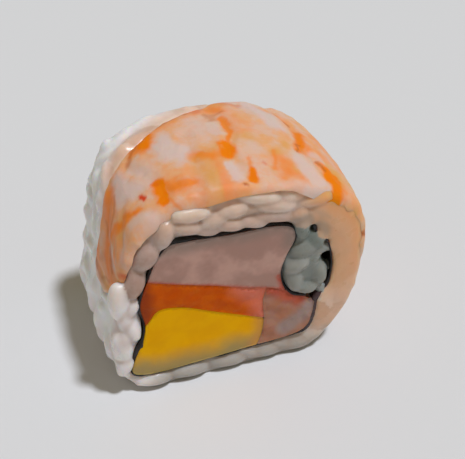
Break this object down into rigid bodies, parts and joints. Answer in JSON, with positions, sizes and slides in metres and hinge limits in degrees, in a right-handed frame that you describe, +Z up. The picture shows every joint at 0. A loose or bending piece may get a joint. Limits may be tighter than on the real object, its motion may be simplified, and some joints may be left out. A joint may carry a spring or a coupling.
{
  "type": "uramaki roll slice",
  "caption": "Slice of an inside-out sushi roll: cooked shrimp over a ring of rice, nori wrapped round soft fillings and curled over a core of rice.",
  "frame": {"origin": "centre of the bounding box at its base, on the surface that the slice stands on", "axes": "+X along the width of the cut faces, +Y from the front cut face to the back one, +Z up"},
  "size_m": [0.0436, 0.0242, 0.0386],
  "materials": {
    "rice": "moist, half-translucent cooked rice grains",
    "nori": "damp, almost black seaweed sheet",
    "shrimp": "moist cooked shrimp, pale pink flesh with orange bands",
    "crab_stick": "moist pinkish crab stick with a red skin",
    "salmon_slice": "moist deep orange fish",
    "pickled_radish": "smooth wet yellow pickle, paler at its foot",
    "crab_meat": "moist peach-pink flesh, half translucent"
  },
  "bodies": {
    "root": {"rice": "rice", "nori": "nori", "shrimp": "shrimp", "crab_stick": "crab_stick", "salmon_slice": "salmon_slice", "pickled_radish": "pickled_radish", "crab_meat": "crab_meat"}
  },
  "joints": []
}
